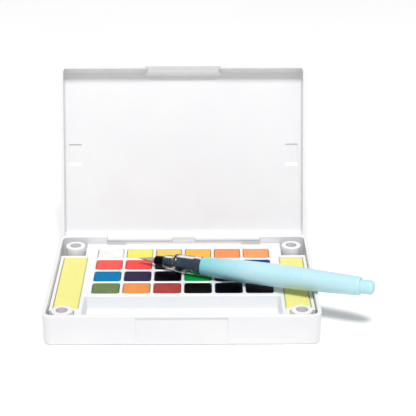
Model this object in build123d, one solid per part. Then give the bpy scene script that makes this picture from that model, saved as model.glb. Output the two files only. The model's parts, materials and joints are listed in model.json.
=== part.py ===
"""Watercolor pan set: a hinged plastic case with a tray of paint pans, two sponge pads and a water brush.

Millimetres, +Z up. The origin is the centre of the base's footprint, on its underside.
The front of the case faces -Y and the hinge is along its back. The lid stands open.
"""

from build123d import *
from math import radians, tan
import os

# case
LENGTH = 160.0  # along X, over the rim of the base
DEPTH = 114.0  # along Y
BASE_HEIGHT = 19.0
LID_HEIGHT = 10.0
PARTING_GAP = 0.05  # between the rims when the lid is closed
CORNER = 5.5
BASE_DRAFT = 2.0  # degrees, towards the underside
LID_DRAFT = 2.0
LID_FRONT_DRAFT = 10.0  # of the front wall's inner face
LID_INSET = 0.4  # the lid's rim stands inside the base's rim at the front and sides
WALL = 2.2
BACK_WALL = 3.4
FLOOR = 1.8
LID_WALL = 1.9
LID_TOP = 1.9
BOTTOM_ROUND = 1.2
RIM_ROUND = 0.5

# hinge
AXIS_Y = DEPTH / 2 - 1.4
AXIS_Z = BASE_HEIGHT - 1.85
BARREL = 2.0  # outer radius of the lugs and knuckles
PIN = 0.6
PIN_PLAY = 0.05
PART_GAP = 0.3  # between faces that pass each other
CENTRE_LUG = 7.3  # half length
KNUCKLE_END = 49.5  # where the end lugs begin
OPEN_ANGLE = 109.0

# corner sockets
SOCKET_X = 69.0
SOCKET_FRONT = -47.4
SOCKET_BACK = 42.9
SOCKET_OUTER = 6.2
SOCKET_BORE = 3.5
SOCKET_TOP = 18.2

# tray
TRAY_TOP = 14.9
TRAY_GAP = 0.3
TRAY_SKIN = 1.5
NOTCH_X = 62.4
NOTCH_FRONT = -40.7
NOTCH_BACK = 34.6
CLIP_X = (37.5, 49.5)
CLIP_DEPTH = 1.6
EDGE_BREAK = 0.35

# pans
COLUMNS = 6
ROWS = 4
PITCH_X = 18.48
PITCH_Y = 16.63
GRID_Y = 12.9
HOLE_X = 16.65
HOLE_Y = 14.73
HOLE_CORNER = 2.0
WELL_FLOOR = 4.4
PAN_GAP = 0.2
PAN_WALL = 0.9
PAN_RIM = 13.0
CAKE_ROUND = 1.1

# trough and sponge slots
TROUGH_X = 58.0
TROUGH_BACK = -22.6
TROUGH_FRONT = -51.8
TROUGH_FLOOR = 7.0
TROUGH_DRAFT = 10.0
SLOT_X = (60.4, 75.5)
SLOT_Y = (-39.4, 32.4)
SLOT_FLOOR = 6.9
PAD_GAP = 0.25
PAD_TOP = TRAY_TOP + 0.1

# front catch
CATCH = 24.4  # half length
PANEL = 26.5
PANEL_SET_BACK = 0.6
BEVEL_RISE = 2.6
BEVEL_BACK = 1.5  # behind the front wall's inner face

# recesses in the lid for the clips of a mixing palette
CLIP_RECESS_X = (66.7, 74.8)
CLIP_RECESS_Y = (-5.8, 8.3)
CLIP_RECESS_DEPTH = 0.75

# brush, measured along its own axis from the front of the wide collar
BRUSH_AT = (-4.1, 11.25, TRAY_TOP + 5.58)
BRUSH_TURN = -23.77  # degrees about Z
BRUSH_RISE = 3.28
BRISTLE_TIP = -26.9
FERRULE_FRONT = -14.4
COLLAR_FRONT = -8.2
COLLAR_BACK = 17.7
THREAD_FRONT = 12.3
BARREL_FRONT = 17.9
BARREL_BACK = 118.1
TAIL_BACK = 125.9
TAIL_RADIUS = 4.2


def box(x, y, z):
    """A box from pairs of low and high coordinates."""
    size = (x[1] - x[0], y[1] - y[0], z[1] - z[0])
    middle = ((x[0] + x[1]) / 2, (y[0] + y[1]) / 2, (z[0] + z[1]) / 2)
    return Pos(*middle) * Box(*size)


def both_sides(shape):
    """The shape and its mirror image across the YZ plane."""
    return shape + mirror(shape, about=Plane.YZ)


def rounded_plate(x, y, corner, low, high, taper=0.0):
    """A prism on a rounded rectangle, from its level low to its level high."""
    outline = RectangleRounded(x[1] - x[0], y[1] - y[0], corner)
    outline = Pos((x[0] + x[1]) / 2, (y[0] + y[1]) / 2, low) * outline
    way = 1 if high > low else -1
    return extrude(outline, amount=abs(high - low), dir=(0, 0, way), taper=taper)


def rod(radius, x, y=AXIS_Y, z=AXIS_Z):
    """A cylinder along X between two values of x, on the hinge axis unless told otherwise."""
    return Pos((x[0] + x[1]) / 2, y, z) * Rot(0, 90, 0) * Cylinder(radius, x[1] - x[0])


def yz_prism(points, half_length):
    """A polygon in the YZ plane, drawn out to both sides."""
    outline = make_face(Polyline(*[(0, y, z) for y, z in points], close=True))
    return extrude(outline, amount=half_length, dir=(1, 0, 0), both=True)


def knuckle_spans():
    """The two stretches of the hinge axis that belong to the lid."""
    return [(-KNUCKLE_END, -CENTRE_LUG), (CENTRE_LUG, KNUCKLE_END)]


def base_shell():
    half = (LENGTH / 2, DEPTH / 2)
    outer = rounded_plate((-half[0], half[0]), (-half[1], half[1]), CORNER, BASE_HEIGHT, 0, BASE_DRAFT)
    # the catch panel is set back by the same amount all the way down the drafted front
    panel = box((-PANEL, PANEL), (-DEPTH, 0), (1.2, BASE_HEIGHT - 1.2))
    panel &= outer - Pos(0, PANEL_SET_BACK, 0) * outer
    bottom_edges = outer.faces().sort_by(Axis.Z)[0].edges()
    outer = fillet(bottom_edges, BOTTOM_ROUND)
    rim_edges = outer.faces().sort_by(Axis.Z)[-1].edges()
    outer = fillet(rim_edges, RIM_ROUND)
    cavity_x = half[0] - WALL
    cavity_y = (-half[1] + WALL, half[1] - BACK_WALL)
    cavity = rounded_plate((-cavity_x, cavity_x), cavity_y, CORNER - WALL, FLOOR, BASE_HEIGHT + 5)
    return outer - panel - cavity


def corner_sockets():
    """Four tubes that stand on the floor of the base, which closes their bores at the bottom."""
    height = SOCKET_TOP - FLOOR
    post = Pos(0, 0, FLOOR + height / 2) * Cylinder(SOCKET_OUTER, height)
    post = fillet(post.edges().sort_by(Axis.Z)[-1], 0.5)
    post -= Pos(0, 0, FLOOR + height / 2) * Cylinder(SOCKET_BORE, height + 2)
    places = []
    for side in (-1, 1):
        for y in (SOCKET_FRONT, SOCKET_BACK):
            places.append(Pos(side * SOCKET_X, y, 0) * post)
    return places


def case_base():
    shell = base_shell()
    back = DEPTH / 2
    # the lid's knuckles turn in two gaps in the back wall, with more room behind the axis for the lid's foot
    clearance = BARREL + PART_GAP
    for low, high in knuckle_spans():
        shell -= rod(clearance, (low, high))
        shell -= box((low, high), (AXIS_Y - clearance, back + 2), (AXIS_Z, BASE_HEIGHT + 1))
        shell -= rod(BARREL + 0.7, (low, high)) & box((low, high), (AXIS_Y, back + 2), (0, AXIS_Z + 1))
    # the lugs are round behind the axis and square in front of it
    end_lug = (KNUCKLE_END, LENGTH / 2 - CORNER)
    above_lugs = box((KNUCKLE_END, end_lug[1]), (back - BACK_WALL - 1, back + 1), (AXIS_Z, BASE_HEIGHT + 1))
    shell -= both_sides(above_lugs)
    shell -= box((-CENTRE_LUG, CENTRE_LUG), (back - BACK_WALL - 1, back + 1), (AXIS_Z, BASE_HEIGHT + 1))
    square_end = box(end_lug, (AXIS_Y - BARREL, AXIS_Y), (AXIS_Z - 1, BASE_HEIGHT))
    shell += both_sides(rod(BARREL, end_lug) + square_end)
    centre = rod(BARREL, (-CENTRE_LUG, CENTRE_LUG))
    centre += box((-CENTRE_LUG, CENTRE_LUG), (AXIS_Y - BARREL, AXIS_Y), (AXIS_Z - 2, AXIS_Z + BARREL - 0.1))
    shell += centre
    # blind holes for the two pins
    pin_hole = rod(PIN, (CENTRE_LUG - 4, KNUCKLE_END + 6))
    return shell - both_sides(pin_hole)


def hinge_pins():
    """Two steel pins, each pressed into an end lug and the centre lug."""
    pin = rod(PIN, (CENTRE_LUG - 3.8, KNUCKLE_END + 5.8))
    return [pin, mirror(pin, about=Plane.YZ)]


def lid_cavity(x, y):
    """The hollow of the lid: straight sides, a sloping front and a large round along the back."""
    rim = BASE_HEIGHT + PARTING_GAP
    low = BASE_HEIGHT - 1
    high = BASE_HEIGHT + LID_HEIGHT - LID_TOP
    slope = tan(radians(LID_FRONT_DRAFT))
    plan = rounded_plate((-x, x), (y[0] - 1, y[1]), CORNER - LID_WALL, low, high, LID_DRAFT / 2)
    plan = fillet(plan.faces().sort_by(Axis.Z)[-1].edges(), 1.2)
    front_low = y[0] - slope * (rim - low)
    front_high = y[0] + slope * (high - rim)
    section = yz_prism([(front_low, low), (y[1], low), (y[1], high), (front_high, high)], LENGTH)
    long_edges = section.faces().sort_by(Axis.Z)[-1].edges().filter_by(Axis.X).sort_by(Axis.Y)
    section = fillet(long_edges[-1], 5.0)
    front_edge = section.edges().filter_by(Axis.X).sort_by(Axis.Z)[-2:].sort_by(Axis.Y)[0]
    return plan & fillet(front_edge, 1.2)


def lid_catch(front, inner):
    """The thickened middle of the front wall."""
    rim = BASE_HEIGHT + PARTING_GAP
    top = BASE_HEIGHT + LID_HEIGHT - LID_TOP
    wedge = [(front + 1, rim), (inner + BEVEL_BACK, rim), (inner + 4.6, top + 0.2), (front + 1, top + 0.2)]
    block = yz_prism(wedge, CATCH)
    for side in (-1, 1):
        end = Pos(side * CATCH, inner + 2, top) * Rot(0, side * 20, 0) * Box(3, 20, 30)
        block -= Pos(side * 2.2, 0, 0) * end
    return block


def catch_bevel(front, inner):
    """What is cut from the rim at the catch, so that it slopes from the outer edge to the inside."""
    rim = BASE_HEIGHT + PARTING_GAP
    back = inner + BEVEL_BACK + 1.0
    section = [(front, rim - 1), (back, rim - 1), (back, rim + BEVEL_RISE), (front + 0.6, rim), (front, rim)]
    return yz_prism(section, CATCH)


def case_lid():
    """The lid is built closed and then turned open about the hinge axis."""
    rim = BASE_HEIGHT + PARTING_GAP
    top = BASE_HEIGHT + LID_HEIGHT
    side = LENGTH / 2 - LID_INSET
    front = -DEPTH / 2 + LID_INSET
    back = DEPTH / 2
    outer = rounded_plate((-side, side), (front, back), CORNER - 0.2, rim, top, LID_DRAFT)
    outer = fillet(outer.faces().sort_by(Axis.Z)[-1].edges(), 3.2)
    inner = (front + LID_WALL, back - LID_WALL)
    shell = outer - lid_cavity(side - LID_WALL, inner)
    shell += lid_catch(front, inner[0])
    shell -= catch_bevel(front, inner[0])
    shell -= box((-CATCH, CATCH), (front - 1, front + 0.6), (rim - 1, rim + 4.5))
    # the back wall clears the lugs, and its foot meets the base's back when the lid is fully open
    for low, high in ((-LENGTH / 2, -KNUCKLE_END), (-CENTRE_LUG, CENTRE_LUG), (KNUCKLE_END, LENGTH / 2)):
        shell -= rod(BARREL + PART_GAP, (low - PART_GAP, high + PART_GAP))
    for low, high in knuckle_spans():
        span = (low + PART_GAP, high - PART_GAP)
        shell += rod(BARREL, span)
        shell += box(span, (AXIS_Y - 1.3, back), (AXIS_Z, rim + 0.6))
    shell -= both_sides(rod(PIN + PIN_PLAY, (CENTRE_LUG - 1, KNUCKLE_END + 1)))
    # palette clip recesses, each with a ramp at the end nearer the hinge
    ceiling = top - LID_TOP
    recess = box(CLIP_RECESS_X, CLIP_RECESS_Y, (ceiling - 1, ceiling + CLIP_RECESS_DEPTH))
    ramp_foot = CLIP_RECESS_Y[1] - 2.0
    ramp_end = CLIP_RECESS_Y[1] + 1
    ramp_top = ceiling + CLIP_RECESS_DEPTH + 0.1
    ramp = yz_prism([(ramp_foot, ramp_top), (ramp_end, ramp_top), (ramp_end, ceiling - 0.4)], LENGTH)
    shell -= both_sides(recess - ramp)
    return turn_open(shell)


def turn_open(shape):
    return Pos(0, AXIS_Y, AXIS_Z) * Rot(-OPEN_ANGLE, 0, 0) * Pos(0, -AXIS_Y, -AXIS_Z) * shape


def pan_centres():
    """(row, column, x, y), with row 1 at the back and column 1 at the left."""
    places = []
    for row in range(ROWS):
        for column in range(COLUMNS):
            x = (column - (COLUMNS - 1) / 2) * PITCH_X
            y = GRID_Y + ((ROWS - 1) / 2 - row) * PITCH_Y
            places.append((row + 1, column + 1, x, y))
    return places


def recess_cutter(x, y, corner, low, taper=0.0):
    """The space of a recess in the tray, with a small bevel around its mouth."""
    cutter = rounded_plate(x, y, corner, TRAY_TOP, low, taper)
    mouth_x = (x[0] - EDGE_BREAK, x[1] + EDGE_BREAK)
    mouth_y = (y[0] - EDGE_BREAK, y[1] + EDGE_BREAK)
    mouth = rounded_plate(mouth_x, mouth_y, corner + EDGE_BREAK, TRAY_TOP, TRAY_TOP - EDGE_BREAK, 44.9)
    return cutter + mouth


def tray_outline():
    """The plan of the tray: it fills the base, apart from the corners with the sockets."""
    half_x = LENGTH / 2 - WALL - TRAY_GAP
    low_y = -DEPTH / 2 + WALL + TRAY_GAP
    high_y = DEPTH / 2 - BACK_WALL - TRAY_GAP
    plan = Pos(0, (low_y + high_y) / 2) * RectangleRounded(2 * half_x, high_y - low_y, 3.0)
    for side in (-1, 1):
        for edge, depth in ((NOTCH_FRONT, -40), (NOTCH_BACK, 40)):
            plan -= Pos(side * (NOTCH_X + 20), edge + depth / 2) * Rectangle(40, abs(depth))
        clip = Rectangle(CLIP_X[1] - CLIP_X[0], 2 * CLIP_DEPTH)
        plan -= Pos(side * (CLIP_X[0] + CLIP_X[1]) / 2, high_y) * clip
    return plan


def pan_tray():
    plan = tray_outline()
    foot = FLOOR + 0.05
    tray = extrude(Pos(0, 0, foot) * plan, amount=TRAY_TOP - foot)
    top_edges = tray.faces().sort_by(Axis.Z)[-1].edges()
    tray = chamfer(top_edges, EDGE_BREAK)
    tray -= extrude(Pos(0, 0, foot) * offset(plan, -TRAY_SKIN), amount=TRAY_TOP - TRAY_SKIN - foot)
    # the walls under the top plate that hold the pans, the trough and the pads
    ceiling = TRAY_TOP - TRAY_SKIN
    grid_x = COLUMNS / 2 * PITCH_X + 0.6
    grid_y = (GRID_Y - ROWS / 2 * PITCH_Y - 0.6, GRID_Y + ROWS / 2 * PITCH_Y + 0.6)
    tray += box((-grid_x, grid_x), grid_y, (WELL_FLOOR - 1.2, ceiling + 0.1))
    trough_x = TROUGH_X + 1.2
    trough_y = (TROUGH_FRONT - 1.2, TROUGH_BACK + 1.2)
    tray += box((-trough_x, trough_x), trough_y, (TROUGH_FLOOR - 1.2, ceiling + 0.1))
    slot_x = (SLOT_X[0] - 1.2, SLOT_X[1] + 1.2)
    slot_y = (SLOT_Y[0] - 1.2, SLOT_Y[1] + 1.2)
    tray += both_sides(box(slot_x, slot_y, (SLOT_FLOOR - 1.2, ceiling + 0.1)))
    for _, _, x, y in pan_centres():
        hole_x = (x - HOLE_X / 2, x + HOLE_X / 2)
        hole_y = (y - HOLE_Y / 2, y + HOLE_Y / 2)
        tray -= recess_cutter(hole_x, hole_y, HOLE_CORNER, WELL_FLOOR)
    tray -= recess_cutter((-TROUGH_X, TROUGH_X), (TROUGH_FRONT, TROUGH_BACK), 2.5, TROUGH_FLOOR, TROUGH_DRAFT)
    tray -= both_sides(recess_cutter(SLOT_X, SLOT_Y, 0.7, SLOT_FLOOR))
    return tray


def centred_plate(width, depth, corner, low, high, taper=0.0):
    return rounded_plate((-width / 2, width / 2), (-depth / 2, depth / 2), corner, low, high, taper)


def pan():
    """A small cup, open at the top, that drops into a well of the tray."""
    width = HOLE_X - 2 * PAN_GAP
    depth = HOLE_Y - 2 * PAN_GAP
    cup = centred_plate(width, depth, HOLE_CORNER - PAN_GAP, WELL_FLOOR, PAN_RIM)
    cup = chamfer(cup.faces().sort_by(Axis.Z)[0].edges(), 0.5)
    hollow_width = width - 2 * PAN_WALL
    hollow_depth = depth - 2 * PAN_WALL
    hollow = centred_plate(hollow_width, hollow_depth, 1.0, WELL_FLOOR + PAN_WALL, PAN_RIM)
    return cup - hollow


def paint_cake():
    """The paint fills the cup and spreads over its rim, level with the tray, with rounded shoulders."""
    width = HOLE_X - 2 * PAN_GAP
    depth = HOLE_Y - 2 * PAN_GAP
    hollow_width = width - 2 * PAN_WALL
    hollow_depth = depth - 2 * PAN_WALL
    filling = centred_plate(hollow_width, hollow_depth, 1.0, WELL_FLOOR + PAN_WALL, PAN_RIM)
    slab = centred_plate(width, depth, HOLE_CORNER - PAN_GAP, PAN_RIM, TRAY_TOP)
    slab = fillet(slab.faces().sort_by(Axis.Z)[-1].edges(), CAKE_ROUND)
    return filling + slab


def sponge_pad(side):
    x = (SLOT_X[0] + PAD_GAP, SLOT_X[1] - PAD_GAP)
    pad = box(x, (SLOT_Y[0] + PAD_GAP, SLOT_Y[1] - PAD_GAP), (SLOT_FLOOR, PAD_TOP))
    return pad if side > 0 else mirror(pad, about=Plane.YZ)


def turned(outline):
    """A solid of revolution from points (distance along the axis, radius), closed along the axis."""
    points = [(outline[0][0], 0)] + list(outline) + [(outline[-1][0], 0)]
    face = make_face(Polyline(*[(t, r, 0) for t, r in points], close=True))
    return revolve(face, axis=Axis.X)


def turned_body(stations, front, back):
    """A solid of revolution whose side is a smooth curve through (distance, radius) stations."""
    side = Spline(*[(t, r, 0) for t, r in stations])
    ends = Polyline((back, stations[-1][1], 0), (back, 0, 0), (front, 0, 0), (front, stations[0][1], 0))
    return revolve(make_face([side, ends]), axis=Axis.X)


def brush_barrel():
    """The squeezable barrel: thickest before the middle, open at the front, with a stepped, closed tail."""
    swell = [(BARREL_FRONT, 5.55), (43, 6.7), (62, 6.95), (82, 6.7), (106, 5.95), (BARREL_BACK, 5.5)]
    outer = turned_body(swell, BARREL_FRONT, BARREL_BACK)
    outer = fillet(outer.edges().filter_by(GeomType.CIRCLE).sort_by(Axis.X)[-1], 0.8)
    tail = turned([(BARREL_BACK - 1, TAIL_RADIUS), (TAIL_BACK, TAIL_RADIUS)])
    tail = fillet(tail.edges().filter_by(GeomType.CIRCLE).sort_by(Axis.X)[-1], 1.6)
    room_front = BARREL_FRONT + 1.5
    room_back = BARREL_BACK - 1.5
    hollow = [(room_front, 3.7), (30, 5.0), (43, 5.5), (62, 5.75), (82, 5.5), (106, 4.75), (room_back, 4.3)]
    room = turned_body(hollow, room_front, room_back)
    passage = turned([(BARREL_FRONT - 1, 3.7), (room_front + 1, 3.7)])
    tail_room = turned([(room_back - 1, TAIL_RADIUS - 1.2), (TAIL_BACK - 1.6, TAIL_RADIUS - 1.2)])
    return outer + tail - room - passage - tail_room


def brush_collar():
    """The clear head: a narrow nose with a ring behind it, and a wide sleeve around the feed's thread."""
    nose = [(COLLAR_FRONT, 3.2), (COLLAR_FRONT + 0.6, 3.9), (COLLAR_FRONT + 1.4, 4.2), (-1.6, 4.35)]
    ring = [(-0.9, 4.9), (-0.3, 5.5), (1.4, 5.6), (1.9, 5.4), (2.6, 5.4)]
    sleeve = [(3.0, 5.55), (COLLAR_BACK - 0.3, 5.75), (COLLAR_BACK, 5.55)]
    outer = turned(nose + ring + sleeve)
    core = turned([(COLLAR_FRONT - 1, 2.65), (-1.0, 2.65), (0.8, 3.85), (THREAD_FRONT, 3.85)])
    thread = turned([(THREAD_FRONT, 4.5), (COLLAR_BACK + 1, 4.5)])
    return outer - core - thread


def brush_feed():
    """The dark core that carries water to the bristles, with a thread for the head and a stub."""
    front = [(-7.6, 1.4), (-7.2, 2.6), (-0.9, 2.6), (0.9, 3.8), (THREAD_FRONT, 3.8)]
    thread = [(THREAD_FRONT + 0.3, 4.4), (BARREL_FRONT - 0.1, 4.4)]
    stub = [(BARREL_FRONT - 0.1, 3.5), (29.0, 3.3), (29.6, 2.2)]
    return turned(front + thread + stub)


def brush_ferrule():
    shell = turned([(FERRULE_FRONT, 2.3), (FERRULE_FRONT + 0.8, 2.95), (COLLAR_FRONT, 3.15)])
    return shell - turned([(FERRULE_FRONT - 1, 1.8), (COLLAR_FRONT + 1, 1.8)])


def brush_bristles():
    """The tuft of nylon hairs, gathered to a point."""
    tuft = [(BRISTLE_TIP, 0.12), (BRISTLE_TIP + 4, 0.75), (BRISTLE_TIP + 8.5, 1.7), (FERRULE_FRONT, 1.95)]
    return turned_body(tuft, BRISTLE_TIP, FERRULE_FRONT) + turned([(FERRULE_FRONT - 0.1, 1.8), (-9.0, 1.8)])


def laid_down(shape):
    """The brush lies with its collar on the tray and its barrel on the right rim."""
    return Pos(*BRUSH_AT) * Rot(0, 0, BRUSH_TURN) * Rot(0, -BRUSH_RISE, 0) * shape


def write(name, shape):
    """One node per file. Several solids in a node are kept apart."""
    if isinstance(shape, list):
        shape = Compound(children=shape)
    shape.label = name
    export_step(shape, f"parts/{name}.step")


os.makedirs("parts", exist_ok=True)
write("case_base", case_base())
write("corner_sockets", corner_sockets())
write("case_lid", case_lid())
write("hinge_pins", hinge_pins())
write("pan_tray", pan_tray())
write("sponge_left", sponge_pad(-1))
write("sponge_right", sponge_pad(1))
for row, column, x, y in pan_centres():
    write(f"pan_r{row}c{column}", Pos(x, y, 0) * pan())
    write(f"paint_r{row}c{column}", Pos(x, y, 0) * paint_cake())
write("brush_barrel", laid_down(brush_barrel()))
write("brush_collar", laid_down(brush_collar()))
write("brush_feed", laid_down(brush_feed()))
write("brush_ferrule", laid_down(brush_ferrule()))
write("brush_bristles", laid_down(brush_bristles()))
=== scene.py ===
"""Looks of the watercolor pan set: white plastic, paint cakes, foam pads and a water brush with a clear head."""

import json
import math
import random

import bmesh
import bpy
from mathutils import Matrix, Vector, noise


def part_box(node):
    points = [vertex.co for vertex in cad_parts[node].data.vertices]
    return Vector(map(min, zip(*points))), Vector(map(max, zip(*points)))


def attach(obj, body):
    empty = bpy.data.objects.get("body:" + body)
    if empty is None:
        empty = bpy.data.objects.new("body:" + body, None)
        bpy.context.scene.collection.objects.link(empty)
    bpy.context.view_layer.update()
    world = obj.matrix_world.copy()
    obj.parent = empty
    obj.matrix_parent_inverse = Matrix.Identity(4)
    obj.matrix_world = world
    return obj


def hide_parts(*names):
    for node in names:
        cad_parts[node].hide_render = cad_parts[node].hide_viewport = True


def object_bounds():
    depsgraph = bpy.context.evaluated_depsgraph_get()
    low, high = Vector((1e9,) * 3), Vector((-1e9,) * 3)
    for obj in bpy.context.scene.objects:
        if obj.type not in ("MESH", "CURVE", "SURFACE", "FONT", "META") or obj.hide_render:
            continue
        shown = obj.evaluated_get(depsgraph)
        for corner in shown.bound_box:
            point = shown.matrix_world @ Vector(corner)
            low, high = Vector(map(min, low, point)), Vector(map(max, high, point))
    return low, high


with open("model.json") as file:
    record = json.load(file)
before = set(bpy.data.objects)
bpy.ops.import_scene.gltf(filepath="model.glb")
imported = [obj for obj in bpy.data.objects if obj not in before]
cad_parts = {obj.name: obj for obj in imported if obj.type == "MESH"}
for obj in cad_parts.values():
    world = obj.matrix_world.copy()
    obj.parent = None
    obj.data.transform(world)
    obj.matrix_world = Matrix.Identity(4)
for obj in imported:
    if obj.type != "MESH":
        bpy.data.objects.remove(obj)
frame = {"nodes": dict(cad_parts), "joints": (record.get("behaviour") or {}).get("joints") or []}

MM = 0.001
CAD_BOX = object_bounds()
NODES = frame["nodes"]

# Places along the brush's own axis, from the joint of its head towards the tail
BRISTLE_TIP = -26.9 * MM
FERRULE_FRONT = -14.4 * MM
# painted shade on the barrel, deepest at the front where the dark feed would show through
BARREL_PAINTED_SHADE_FROM = 16 * MM
BARREL_PAINTED_SHADE_LENGTH = 36 * MM  # over which the barrel's painted shade fades out

HAIRS = 170
HAIR_SIDES = 5
HAIR_STEPS = 9
HAIR_RADIUS = 0.11 * MM
TUFT_RADIUS = 1.62 * MM
GOLDEN_ANGLE = 2.39996  # spreads the hairs evenly around the tuft

FOAM_CELL = 0.55 * MM  # spacing of the pad's vertices
FOAM_ROUNDING = 0.9 * MM
FOAM_CROWN = 0.35 * MM

FLOOR_REACH = 6.0  # metres to each side

# Paint colours by row, from the back, and by column, from the left, as they look in sRGB
PAINTS = [
    [(232, 232, 226), (234, 224, 106), (228, 196, 98), (240, 180, 76), (240, 144, 92), (242, 156, 102)],
    [(240, 92, 84), (236, 78, 76), (44, 6, 16), (100, 18, 78), (52, 54, 140), (18, 64, 142)],
    [(0, 116, 172), (46, 38, 68), (4, 4, 9), (0, 150, 66), (6, 24, 16), (28, 80, 42)],
    [(108, 126, 84), (226, 144, 78), (166, 66, 62), (16, 8, 7), (2, 2, 8), (8, 7, 13)],
]


def linear(rgb, share=1.0):
    """An sRGB colour of 0 to 255 as linear values, times share."""
    out = []
    for c in rgb:
        c = c / 255
        out.append(share * (c / 12.92 if c <= 0.04045 else ((c + 0.055) / 1.055) ** 2.4))
    return (*out, 1.0)


# ---------------------------------------------------------------- materials


class Nodes:
    """A short way to build one material's nodes."""

    def __init__(self, name):
        self.material = bpy.data.materials.new(name)
        self.material.use_nodes = True
        self.tree = self.material.node_tree
        self.shader = self.tree.nodes["Principled BSDF"]
        self.place = self.add("ShaderNodeTexCoord").outputs["Object"]

    def add(self, kind, **settings):
        node = self.tree.nodes.new(kind)
        for key, value in settings.items():
            setattr(node, key, value)
        return node

    def link(self, source, target):
        self.tree.links.new(source, target)

    def constants(self, **values):
        for key, value in values.items():
            self.shader.inputs[key.replace("_", " ")].default_value = value

    def speckle(self, size, detail=3.0, roughness=0.5, stretch=None):
        """Noise whose grain is about size metres."""
        source = self.place
        if stretch:
            mapping = self.add("ShaderNodeMapping")
            mapping.inputs["Scale"].default_value = stretch
            self.link(source, mapping.inputs["Vector"])
            source = mapping.outputs["Vector"]
        node = self.add("ShaderNodeTexNoise")
        node.inputs["Scale"].default_value = 1 / size
        node.inputs["Detail"].default_value = detail
        node.inputs["Roughness"].default_value = roughness
        self.link(source, node.inputs["Vector"])
        return node.outputs["Fac"]

    def pores(self, size):
        node = self.add("ShaderNodeTexVoronoi", feature="F1")
        node.inputs["Scale"].default_value = 1 / size
        self.link(self.place, node.inputs["Vector"])
        return node.outputs["Distance"]

    def ramp(self, factor, low, high, start=0.3, end=0.7):
        """Colours from low to high as factor goes from start to end."""
        node = self.add("ShaderNodeValToRGB")
        node.color_ramp.elements[0].position = start
        node.color_ramp.elements[0].color = low
        node.color_ramp.elements[1].position = end
        node.color_ramp.elements[1].color = high
        self.link(factor, node.inputs["Fac"])
        return node.outputs["Color"]

    def level(self, factor, low, high):
        node = self.add("ShaderNodeMapRange")
        node.inputs["From Min"].default_value = 0.3
        node.inputs["From Max"].default_value = 0.7
        node.inputs["To Min"].default_value = low
        node.inputs["To Max"].default_value = high
        self.link(factor, node.inputs["Value"])
        return node.outputs["Result"]

    def bump(self, height, strength, distance):
        node = self.add("ShaderNodeBump")
        node.inputs["Strength"].default_value = strength
        node.inputs["Distance"].default_value = distance
        self.link(height, node.inputs["Height"])
        self.link(node.outputs["Normal"], self.shader.inputs["Normal"])


def moulded_plastic(name, colour, shade, roughness, gloss=0.4):
    """Moulded plastic: a faint cloudiness in its colour, uneven gloss and a fine spark-eroded grain."""
    m = Nodes(name)
    cloud = m.speckle(22 * MM, 4.0)
    m.link(m.ramp(cloud, linear(shade), linear(colour)), m.shader.inputs["Base Color"])
    m.link(m.level(m.speckle(6 * MM), roughness - 0.05, roughness + 0.05), m.shader.inputs["Roughness"])
    m.bump(m.speckle(0.4 * MM, 5.0, 0.6), 0.25, 0.02 * MM)
    m.constants(Specular_IOR_Level=gloss)
    return m.material


def paint(name, rgb):
    """Dried watercolor: colour that deepens faintly in patches, a weak shine and a slightly uneven skin."""
    m = Nodes(name)
    deep = [c * 0.955 for c in rgb]
    patches = m.speckle(7 * MM, 2.0, 0.45)
    m.link(m.ramp(patches, linear(deep), linear(rgb), 0.3, 0.65), m.shader.inputs["Base Color"])
    m.link(m.level(m.speckle(2.2 * MM), 0.3, 0.45), m.shader.inputs["Roughness"])
    m.bump(m.speckle(3.5 * MM, 2.0, 0.45), 0.2, 0.05 * MM)
    m.constants(Specular_IOR_Level=0.02)
    return m.material


def foam():
    """Fine open-cell foam: pale yellow, with painted shade darkening its pores, and no shine."""
    m = Nodes("foam")
    cells = m.pores(0.75 * MM)
    # painted shade: darker yellow at the centre of each pore, where the bump dents the surface
    yellow_with_pore_shade = m.ramp(cells, linear((218, 210, 110)), linear((232, 227, 134)), 0.0, 0.55)
    m.link(yellow_with_pore_shade, m.shader.inputs["Base Color"])
    m.bump(cells, 0.6, 0.15 * MM)
    m.constants(Roughness=0.95, Sheen_Weight=0.25, Subsurface_Weight=0.15, Subsurface_Scale=1.5 * MM)
    return m.material


def tinted(name, rgb, deep, through, roughness):
    """See-through plastic: light passes in part, and the wall's uneven thickness shows as deeper colour."""
    m = Nodes(name)
    m.link(m.ramp(m.speckle(9 * MM, 2.0), linear(deep), linear(rgb)), m.shader.inputs["Base Color"])
    m.link(m.level(m.speckle(3 * MM), roughness - 0.03, roughness + 0.05), m.shader.inputs["Roughness"])
    m.bump(m.speckle(1.2 * MM, 3.0), 0.15, 0.02 * MM)
    m.constants(IOR=1.4, Transmission_Weight=through)
    return m.material


def barrel_plastic():
    """Soft aqua plastic that scatters light. Its colour is painted deeper at the front, a painted shade standing
    in for the dark feed showing through the wall.
    """
    m = Nodes("brush_aqua")
    origin, along, _, _ = brush_frame()
    mapping = m.add("ShaderNodeMapping", vector_type="TEXTURE")
    mapping.inputs["Location"].default_value = origin + along * BARREL_PAINTED_SHADE_FROM
    mapping.inputs["Rotation"].default_value = along.to_track_quat("X", "Z").to_euler()
    mapping.inputs["Scale"].default_value = (BARREL_PAINTED_SHADE_LENGTH,) * 3
    m.link(m.place, mapping.inputs["Vector"])
    distance = m.add("ShaderNodeTexGradient", gradient_type="LINEAR")
    m.link(mapping.outputs["Vector"], distance.inputs["Vector"])
    # painted shade: the colour deepens towards the front, standing in for the dark feed seen through the wall
    colour = m.ramp(distance.outputs["Fac"], linear((126, 198, 208)), linear((185, 222, 230)), 0.0, 1.0)
    m.link(colour, m.shader.inputs["Base Color"])
    m.link(m.level(m.speckle(12 * MM), 0.27, 0.36), m.shader.inputs["Roughness"])
    m.bump(m.speckle(8 * MM, 2.0), 0.1, 0.02 * MM)
    m.constants(Subsurface_Weight=0.3, Subsurface_Scale=1.5 * MM)
    return m.material


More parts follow.
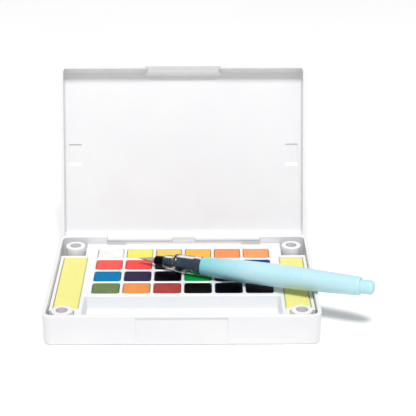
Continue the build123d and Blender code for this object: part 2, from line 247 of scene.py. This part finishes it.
def steel():
    """Drawn wire: fine streaks along its length."""
    m = Nodes("pin_steel")
    streaks = m.speckle(0.3 * MM, 3.0, 0.6, stretch=(0.05, 1, 1))
    m.link(m.ramp(streaks, (0.42, 0.42, 0.44, 1), (0.66, 0.66, 0.68, 1)), m.shader.inputs["Base Color"])
    m.link(m.level(streaks, 0.25, 0.4), m.shader.inputs["Roughness"])
    m.constants(Metallic=1.0)
    return m.material


def finish_node(node, material):
    """A carried-over CAD node gets its material on every slot."""
    obj = NODES[node]
    if not obj.material_slots:
        obj.data.materials.append(material)
    for slot in obj.material_slots:
        slot.material = material


def finish_nodes():
    case = moulded_plastic("case_plastic", (231, 231, 232), (228, 227, 230), 0.35)
    tray = moulded_plastic("tray_plastic", (231, 232, 234), (227, 229, 232), 0.35)
    cup = moulded_plastic("pan_plastic", (228, 228, 228), (222, 222, 223), 0.4)
    finish_node("case_base", case)
    finish_node("corner_sockets", case)
    finish_node("case_lid", case)
    finish_node("pan_tray", tray)
    finish_node("hinge_pins", steel())
    for row, colours in enumerate(PAINTS, 1):
        for column, rgb in enumerate(colours, 1):
            finish_node(f"pan_r{row}c{column}", cup)
            finish_node(f"paint_r{row}c{column}", paint(f"paint_r{row}c{column}", rgb))
    finish_node("brush_barrel", barrel_plastic())
    finish_node("brush_collar", tinted("brush_clear", (244, 247, 249), (232, 238, 242), 1.0, 0.12))
    finish_node("brush_feed", moulded_plastic("brush_navy", (48, 78, 98), (38, 64, 84), 0.3, gloss=0.1))
    finish_node("brush_ferrule", moulded_plastic("brush_black", (8, 8, 10), (4, 4, 6), 0.22, gloss=0.1))


# ---------------------------------------------------------------- pieces


def new_piece(name, vertices, faces, material):
    mesh = bpy.data.meshes.new(name)
    mesh.from_pydata(vertices, [], faces)
    mesh.validate()
    obj = bpy.data.objects.new(name, mesh)
    bpy.context.scene.collection.objects.link(obj)
    mesh.materials.append(material)
    for polygon in mesh.polygons:
        polygon.use_smooth = True
    return obj


def foam_pad(node, body, material, seed):
    """A block of fine foam in its slot: soft rounded edges, a slightly crowned top and open pores all over."""
    low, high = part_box(node)
    low, high = Vector(low), Vector(high)
    size = high - low
    centre = (low + high) / 2
    bm = bmesh.new()
    bmesh.ops.create_cube(bm, size=1.0)
    counts = [max(2, round(s / FOAM_CELL)) for s in size]
    for axis in range(3):
        for cut in range(1, counts[axis]):
            normal = Vector((0, 0, 0))
            normal[axis] = 1
            place = Vector((0, 0, 0))
            place[axis] = cut / counts[axis] - 0.5
            geometry = bm.verts[:] + bm.edges[:] + bm.faces[:]
            bmesh.ops.bisect_plane(bm, geom=geometry, plane_co=place, plane_no=normal)
    half = size / 2
    for vertex in bm.verts:
        place = Vector(vertex.co[i] * size[i] for i in range(3))
        reach = half - Vector((FOAM_ROUNDING,) * 3)
        inner = Vector(max(-reach[i], min(reach[i], place[i])) for i in range(3))
        out = place - inner
        if out.length > 0:
            out = out.normalized() * FOAM_ROUNDING
        place = inner + out
        # the top sags a little towards its edges
        across = place.x / half.x
        along = place.y / half.y
        if place.z > 0:
            place.z -= FOAM_CROWN * (across**4 + along**8) / 2
        normal = out.normalized() if out.length > 0 else Vector((0, 0, 1))
        grain = noise.noise((place + Vector((seed, 0, 0))) / (0.9 * MM))
        pit = noise.cell((place + Vector((0, seed, 0))) / (0.7 * MM))
        place -= normal * (0.10 * MM * max(0.0, grain) + (0.16 * MM if pit > 0.8 else 0.0))
        vertex.co = centre + place
    mesh = bpy.data.meshes.new(node + "_foam")
    bm.to_mesh(mesh)
    bm.free()
    pad = bpy.data.objects.new(node + "_foam", mesh)
    bpy.context.scene.collection.objects.link(pad)
    mesh.materials.append(material)
    for polygon in mesh.polygons:
        polygon.use_smooth = True
    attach(pad, body)
    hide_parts(node)


def brush_frame():
    """The brush's own axes: its origin, the direction of its tail, and two directions across."""
    joint = next(j for j in frame["joints"] if j["name"] == "brush_head_turn")
    along = Vector(joint["axis"]).normalized()
    up = Vector((0, 0, 1))
    up = (up - up.dot(along) * along).normalized()
    return Vector(joint["pos_m"]), along, along.cross(up), up


def tuft(material):
    """Nylon hairs, each a thin tapered tube from the ferrule's mouth to the gathered point."""
    origin, along, side, up = brush_frame()
    root = FERRULE_FRONT + 1.5 * MM
    draw = random.Random(7)
    vertices, faces = [], []
    for hair in range(HAIRS):
        spread = math.sqrt((hair + 0.5) / HAIRS)
        turn = hair * GOLDEN_ANGLE
        reach = BRISTLE_TIP + draw.uniform(0.0, 2.4 * MM) * spread
        bulge = draw.uniform(0.9, 1.1)
        rings = []
        for step in range(HAIR_STEPS + 1):
            share = step / HAIR_STEPS
            t = root + (reach - root) * share
            # full at the mouth, a little wider just before it, and drawn to a point
            gather = 1.0 + 0.18 * math.sin(math.pi * min(1.0, share * 2)) * bulge
            radius = TUFT_RADIUS * spread * gather * (1 - share**1.6) + 0.05 * MM * spread
            middle = origin + along * t + (side * math.cos(turn) + up * math.sin(turn)) * radius
            thick = HAIR_RADIUS * (1 - 0.8 * share)
            ring = []
            for k in range(HAIR_SIDES):
                a = 2 * math.pi * k / HAIR_SIDES
                ring.append(len(vertices))
                vertices.append(middle + (side * math.cos(a) + up * math.sin(a)) * thick)
            rings.append(ring)
        for first, second in zip(rings, rings[1:]):
            for k in range(HAIR_SIDES):
                n = (k + 1) % HAIR_SIDES
                faces.append((first[k], second[k], second[n], first[n]))
        faces.append(tuple(rings[0]))
        faces.append(tuple(reversed(rings[-1])))
    hairs = new_piece("bristle_hairs", vertices, faces, material)
    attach(hairs, "brush_head")
    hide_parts("brush_bristles")


# ---------------------------------------------------------------- studio


def area_light(name, place, aim, width, depth, power):
    data = bpy.data.lights.new(name, "AREA")
    data.shape = "RECTANGLE"
    data.size = width
    data.size_y = depth
    data.energy = power
    obj = bpy.data.objects.new(name, data)
    bpy.context.scene.collection.objects.link(obj)
    obj.location = place
    obj.rotation_mode = "QUATERNION"
    obj.rotation_quaternion = (Vector(aim) - Vector(place)).to_track_quat("-Z", "Y")


def studio():
    r = FLOOR_REACH
    corners = [(-r, -r, 0), (r, -r, 0), (r, r, 0), (-r, r, 0)]
    floor = new_piece("floor", corners, [(0, 1, 2, 3)], floor_paint())
    floor.location.z = CAD_BOX[0][2]
    area_light("overhead_softbox", (0.1, -2.3, 4.8), (0, 0.05, 0.0), 1.4, 1.2, 235.0)
    world = bpy.data.worlds.new("studio")
    bpy.context.scene.world = world
    world.use_nodes = True
    world.node_tree.nodes["Background"].inputs["Color"].default_value = (1.0, 1.0, 1.0, 1)
    world.node_tree.nodes["Background"].inputs["Strength"].default_value = 0.45


def floor_paint():
    m = Nodes("floor_paint")
    grey = m.ramp(m.speckle(0.2, 2.0), (0.94, 0.94, 0.94, 1), (0.955, 0.955, 0.955, 1))
    m.link(grey, m.shader.inputs["Base Color"])
    m.constants(Roughness=0.9)
    return m.material


def camera():
    """A long lens a little right of the case, looking down at its open inside."""
    data = bpy.data.cameras.new("camera")
    data.lens = 108.0
    data.sensor_width = 36.0
    data.clip_start = 0.05
    data.clip_end = 30
    obj = bpy.data.objects.new("camera", data)
    bpy.context.scene.collection.objects.link(obj)
    obj.location = (9.9 * MM, -686.9 * MM, 346.5 * MM)
    obj.rotation_euler = (math.radians(90 - 22.52), 0.0, math.radians(-0.454))
    bpy.context.scene.camera = obj


finish_nodes()
foam_material = foam()
foam_pad("sponge_left", "left_pad", foam_material, 3.1)
foam_pad("sponge_right", "right_pad", foam_material, 8.7)
tuft(tinted("nylon_hair", (250, 246, 243), (240, 235, 231), 0.7, 0.2))
studio()
camera()
bpy.context.scene.view_settings.view_transform = "Standard"
